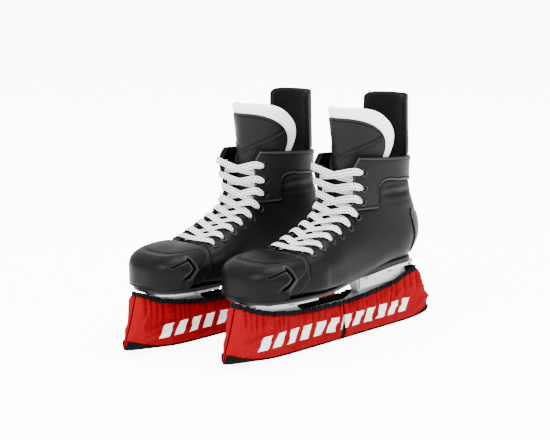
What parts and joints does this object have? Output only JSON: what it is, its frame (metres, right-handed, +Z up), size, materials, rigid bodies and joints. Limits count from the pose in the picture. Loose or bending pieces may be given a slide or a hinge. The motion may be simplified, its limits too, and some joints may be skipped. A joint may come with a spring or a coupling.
{
  "type": "hockey skates",
  "caption": "Pair of black lace-up ice hockey skates with tall felt tongues and tendon guards, standing in soft red blade covers.",
  "frame": {"origin": "centre of the pair at floor level, under the middle of its bounding box", "axes": "+X towards the toes, +Y towards the left skate, +Z up"},
  "size_m": [0.387, 0.2094, 0.282],
  "materials": {
    "boot_shell": "satin smooth synthetic leather",
    "toe_cap": "satin moulded",
    "heel_panel": "satin",
    "collar_panel": "satin",
    "sole_black": "matte",
    "shank": "moulded composite",
    "board": "pressed fibre",
    "footbed": "brushed",
    "lining": "brushed microfibre",
    "foam": "foam",
    "white_felt": "thick felt",
    "tongue_face": "satin",
    "guard_felt": "dense felt",
    "eyelet": "black enamel",
    "lace": "flat woven",
    "holder": "moulded nylon",
    "runner_steel": "polished edge",
    "rivet": "antique",
    "bolt_steel": "plain",
    "cover_red": "woven terry-backed",
    "cover_black": "webbing",
    "elastic": "ribbed elastic",
    "wear_strip": "coated webbing"
  },
  "bodies": {
    "left_cover": {"left_cover_front": "cover_red", "left_cover_rear": "cover_red", "left_cover_gusset": "cover_black", "left_cover_binding": "elastic", "left_cover_strip": "wear_strip"},
    "left_boot": {"left_outer_quarter": "boot_shell", "left_inner_quarter": "boot_shell", "left_toe_cap": "toe_cap", "left_heel_cap": "heel_panel", "left_collar_band": "collar_panel", "left_outsole": "sole_black", "left_shank": "shank", "left_insole_board": "board", "left_footbed": "footbed", "left_liner": "lining", "left_ankle_pads": "foam", "left_tongue_felt": "white_felt", "left_tongue_face": "tongue_face", "left_eyelets": "eyelet", "left_lace": "lace", "left_blade_holder": "holder", "left_runner": "runner_steel", "left_holder_rivets": "rivet", "left_runner_studs": "bolt_steel", "left_runner_nuts": "bolt_steel"},
    "left_tongue_top": {"left_tongue_top_felt": "white_felt", "left_tongue_top_face": "tongue_face"},
    "left_tendon": {"left_tendon_guard": "boot_shell", "left_tendon_lining": "guard_felt"},
    "right_cover": {"right_cover_front": "cover_red", "right_cover_rear": "cover_red", "right_cover_gusset": "cover_black", "right_cover_binding": "elastic", "right_cover_strip": "wear_strip"},
    "right_boot": {"right_outer_quarter": "boot_shell", "right_inner_quarter": "boot_shell", "right_toe_cap": "toe_cap", "right_heel_cap": "heel_panel", "right_collar_band": "collar_panel", "right_outsole": "sole_black", "right_shank": "shank", "right_insole_board": "board", "right_footbed": "footbed", "right_liner": "lining", "right_ankle_pads": "foam", "right_tongue_felt": "white_felt", "right_tongue_face": "tongue_face", "right_eyelets": "eyelet", "right_lace": "lace", "right_blade_holder": "holder", "right_runner": "runner_steel", "right_holder_rivets": "rivet", "right_runner_studs": "bolt_steel", "right_runner_nuts": "bolt_steel"},
    "right_tongue_top": {"right_tongue_top_felt": "white_felt", "right_tongue_top_face": "tongue_face"},
    "right_tendon": {"right_tendon_guard": "boot_shell", "right_tendon_lining": "guard_felt"}
  },
  "joints": [
    {"name": "left_boot_lift", "type": "slide", "parent": "left_cover", "child": "left_boot", "axis": [0, 0, 1], "range_m": [0, 0.085]},
    {"name": "left_tongue_flex", "type": "hinge", "parent": "left_boot", "child": "left_tongue_top", "pos_m": [-0.0272, 0.059, 0.2198], "axis": [0, 1, 0], "range_deg": [0, 35], "stiffness_Nm_per_rad": 0.8},
    {"name": "left_tendon_flex", "type": "hinge", "parent": "left_boot", "child": "left_tendon", "pos_m": [-0.1335, 0.059, 0.21], "axis": [0, -1, 0], "range_deg": [0, 25], "stiffness_Nm_per_rad": 1.5},
    {"name": "right_skate_lift", "type": "slide", "parent": "left_cover", "child": "right_cover", "axis": [0, 0, 1], "range_m": [0, 0.15]},
    {"name": "right_boot_lift", "type": "slide", "parent": "right_cover", "child": "right_boot", "axis": [0, 0, 1], "range_m": [0, 0.085]},
    {"name": "right_tongue_flex", "type": "hinge", "parent": "right_boot", "child": "right_tongue_top", "pos_m": [0.0118, -0.059, 0.2198], "axis": [0, 1, 0], "range_deg": [0, 35], "stiffness_Nm_per_rad": 0.8},
    {"name": "right_tendon_flex", "type": "hinge", "parent": "right_boot", "child": "right_tendon", "pos_m": [-0.0945, -0.059, 0.21], "axis": [0, -1, 0], "range_deg": [0, 25], "stiffness_Nm_per_rad": 1.5}
  ]
}
